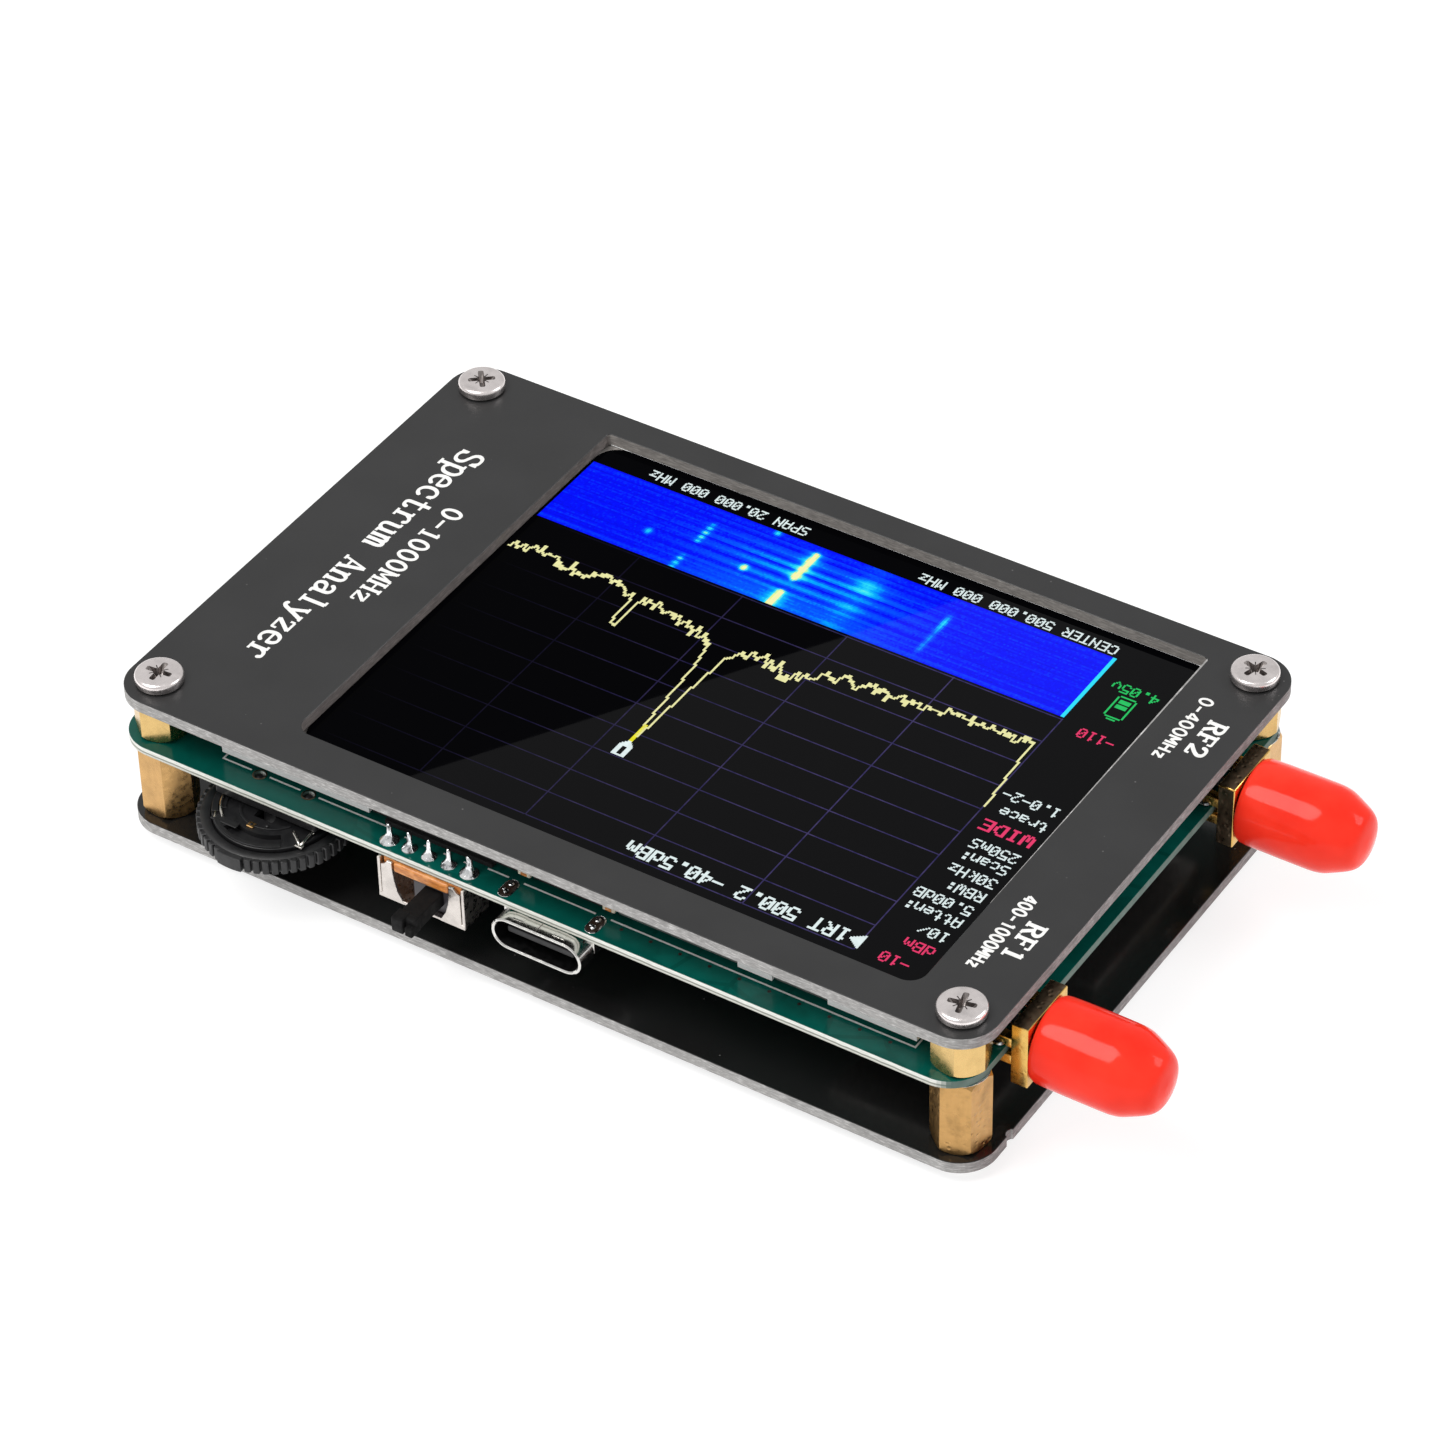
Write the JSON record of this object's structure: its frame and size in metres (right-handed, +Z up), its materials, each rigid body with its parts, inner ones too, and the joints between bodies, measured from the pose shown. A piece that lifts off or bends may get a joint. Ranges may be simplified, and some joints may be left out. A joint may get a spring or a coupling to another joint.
{
  "type": "handheld spectrum analyzer",
  "caption": "Open-frame pocket spectrum analyzer: display under a windowed cover board on brass standoffs, jog dial, slide switch, USB-C and capped coaxial ports.",
  "frame": {"origin": "centre of the bounding box's bottom face, in the plane of the four lower screw heads the instrument stands on", "axes": "+X along the long side, towards the two coaxial connectors; -Y towards the edge with the jog dial, slide switch and USB-C socket; +Z up, out of the display"},
  "size_m": [0.0984, 0.06, 0.017],
  "materials": {
    "cover_board_satin_black": "satin black solder mask on glass-fibre board, pale cut edges, white legend",
    "cover_board_gloss_black": "gloss black solder mask on glass-fibre board, pale cut edges",
    "green_circuit_board": "teal green solder mask, pale cut edge, white outline print, tinned pads",
    "display_glass": "black glossy glass, lit picture under it",
    "display_frame_white": "white moulded backlight frame",
    "black_foam": "black closed-cell foam tape",
    "amber_film": "amber polyimide film",
    "battery_pouch": "silver laminated pouch",
    "white_tape": "white double-sided tape",
    "ivory_plastic": "ivory nylon",
    "red_wire": "red insulation",
    "black_wire": "black insulation",
    "chip_package": "matt black moulded package",
    "oscillator_can": "plated lid",
    "tinned_steel": "tin-plated sheet",
    "nickel_sheet": "nickel-plated sheet",
    "nickel_screw": "nickel-plated steel, fine turned face",
    "brown_phenolic": "brown paper laminate with pale cut edge",
    "black_plastic": "black moulded plastic, light grain",
    "brass": "plain brass, turned and milled hexagon",
    "gold_plated_brass": "gold-plated brass, aged",
    "white_insulator": "white fluoropolymer",
    "red_vinyl": "glossy soft red vinyl"
  },
  "bodies": {
    "chassis": {"top_cover_board": "cover_board_satin_black", "bottom_cover_board": "cover_board_gloss_black", "main_board": "green_circuit_board", "display_glass": "display_glass", "display_cover_lens": "display_glass", "display_frame": "display_frame_white", "display_foam_tape": "black_foam", "display_flat_cable": "amber_film", "battery_cell": "battery_pouch", "battery_tape": "white_tape", "battery_connector": "ivory_plastic", "battery_lead_red": "red_wire", "battery_lead_black": "black_wire", "mcu_chip": "chip_package", "charger_chip": "chip_package", "rf_chip_1": "chip_package", "rf_chip_2": "chip_package", "crystal_oscillator": "oscillator_can", "shield_can_1": "tinned_steel", "shield_can_2": "tinned_steel", "usb_c_shell": "tinned_steel", "usb_c_tongue": "black_plastic", "power_switch_frame": "nickel_sheet", "power_switch_base": "brown_phenolic", "jog_base": "black_plastic", "upper_standoff_1": "brass", "lower_standoff_1": "brass", "top_screw_1": "nickel_screw", "bottom_screw_1": "nickel_screw", "upper_standoff_2": "brass", "lower_standoff_2": "brass", "top_screw_2": "nickel_screw", "bottom_screw_2": "nickel_screw", "upper_standoff_3": "brass", "lower_standoff_3": "brass", "top_screw_3": "nickel_screw", "bottom_screw_3": "nickel_screw", "upper_standoff_4": "brass", "lower_standoff_4": "brass", "top_screw_4": "nickel_screw", "bottom_screw_4": "nickel_screw", "sma_body_1": "gold_plated_brass", "sma_contact_1": "gold_plated_brass", "sma_insulator_1": "white_insulator", "sma_body_2": "gold_plated_brass", "sma_contact_2": "gold_plated_brass", "sma_insulator_2": "white_insulator", "power_switch_pin_1": "nickel_sheet", "power_switch_pin_2": "nickel_sheet", "power_switch_pin_3": "nickel_sheet"},
    "jog_carrier_body": {"jog_carrier": "black_plastic", "jog_clip": "nickel_sheet"},
    "jog_wheel_body": {"jog_wheel": "black_plastic"},
    "power_lever_body": {"power_switch_lever": "black_plastic"},
    "dust_cap_1_body": {"dust_cap_1": "red_vinyl"},
    "dust_cap_2_body": {"dust_cap_2": "red_vinyl"}
  },
  "joints": [
    {"name": "jog_push", "type": "slide", "parent": "chassis", "child": "jog_carrier_body", "axis": [0, 1, 0], "range_m": [0, 0.0008], "stiffness_N_per_m": 500, "springref_m": -0.0004},
    {"name": "jog_turn", "type": "hinge", "parent": "jog_carrier_body", "child": "jog_wheel_body", "pos_m": [-0.0336, -0.02295, 0.0071], "axis": [0, 0, 1], "range_deg": [-12, 12], "stiffness_Nm_per_rad": 0.02},
    {"name": "power_slide", "type": "slide", "parent": "chassis", "child": "power_lever_body", "axis": [1, 0, 0], "range_m": [-0.002, 0]},
    {"name": "dust_cap_1_pull", "type": "slide", "parent": "chassis", "child": "dust_cap_1_body", "axis": [1, 0, 0], "range_m": [0, 0.012]},
    {"name": "dust_cap_2_pull", "type": "slide", "parent": "chassis", "child": "dust_cap_2_body", "axis": [1, 0, 0], "range_m": [0, 0.012]}
  ]
}
